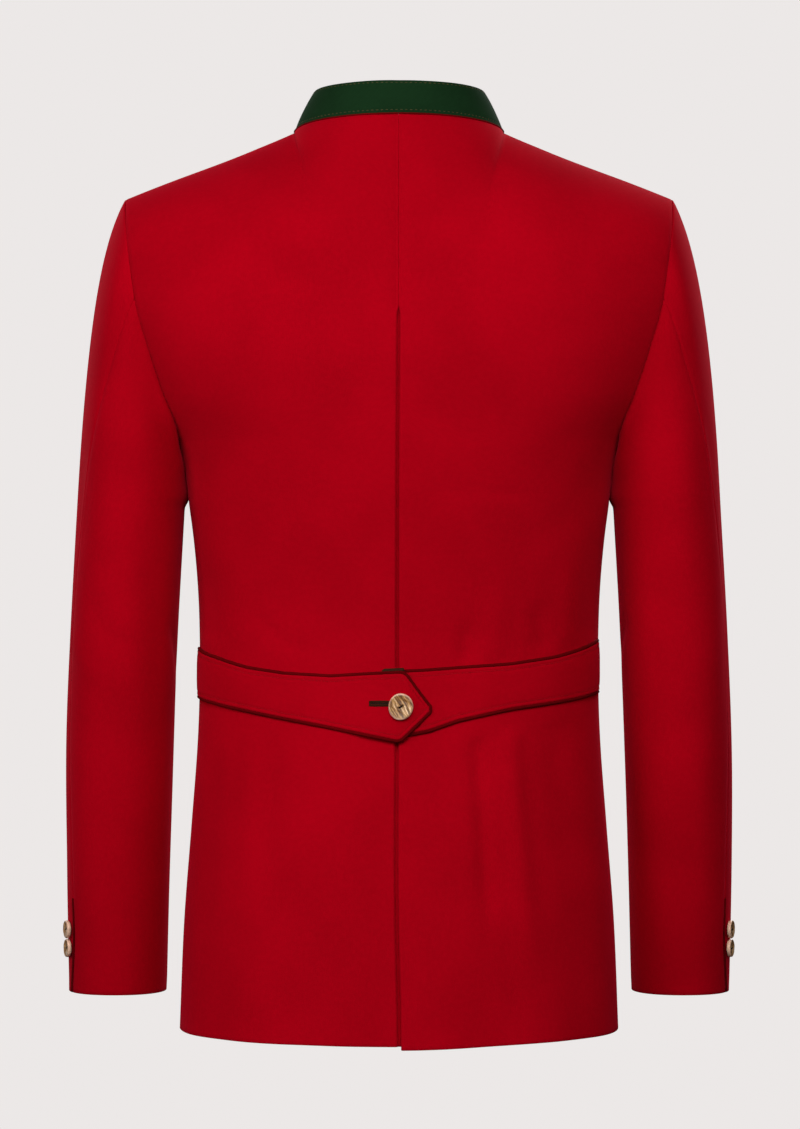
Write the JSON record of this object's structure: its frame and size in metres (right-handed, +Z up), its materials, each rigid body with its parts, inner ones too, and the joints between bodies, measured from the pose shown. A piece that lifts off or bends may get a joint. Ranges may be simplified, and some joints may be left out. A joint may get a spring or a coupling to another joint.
{
  "type": "trachten jacket",
  "caption": "Man's traditional Alpine wool jacket with a green stand collar, centre back pleat and a buttoned half belt, filled out as worn.",
  "frame": {"origin": "centre of the neck, level with the points where the shoulder seams meet the collar", "axes": "+Z up from hem to collar, -Y out of the front, +X to the wearer's left"},
  "size_m": [0.5488, 0.2761, 0.7636],
  "materials": {
    "red_wool": "matte",
    "green_wool": "matte",
    "dark_piping": "matte",
    "stag_horn": "satin"
  },
  "bodies": {
    "root": {"back_left": "red_wool", "back_right": "red_wool", "pleat_underlay": "red_wool", "front_left": "red_wool", "front_right": "red_wool", "sleeve_top_left": "red_wool", "sleeve_top_right": "red_wool", "sleeve_under_left": "red_wool", "sleeve_under_right": "red_wool", "belt_left": "red_wool", "belt_right": "red_wool", "collar": "green_wool", "belt_piping_left": "dark_piping", "belt_piping_right": "dark_piping", "cuff_edging_left": "dark_piping", "cuff_edging_right": "dark_piping", "belt_button": "stag_horn", "cuff_button_left_1": "stag_horn", "cuff_button_left_2": "stag_horn", "cuff_button_right_1": "stag_horn", "cuff_button_right_2": "stag_horn", "front_button_1": "stag_horn", "front_button_2": "stag_horn", "front_button_3": "stag_horn", "front_button_4": "stag_horn", "front_button_5": "stag_horn"}
  },
  "joints": []
}
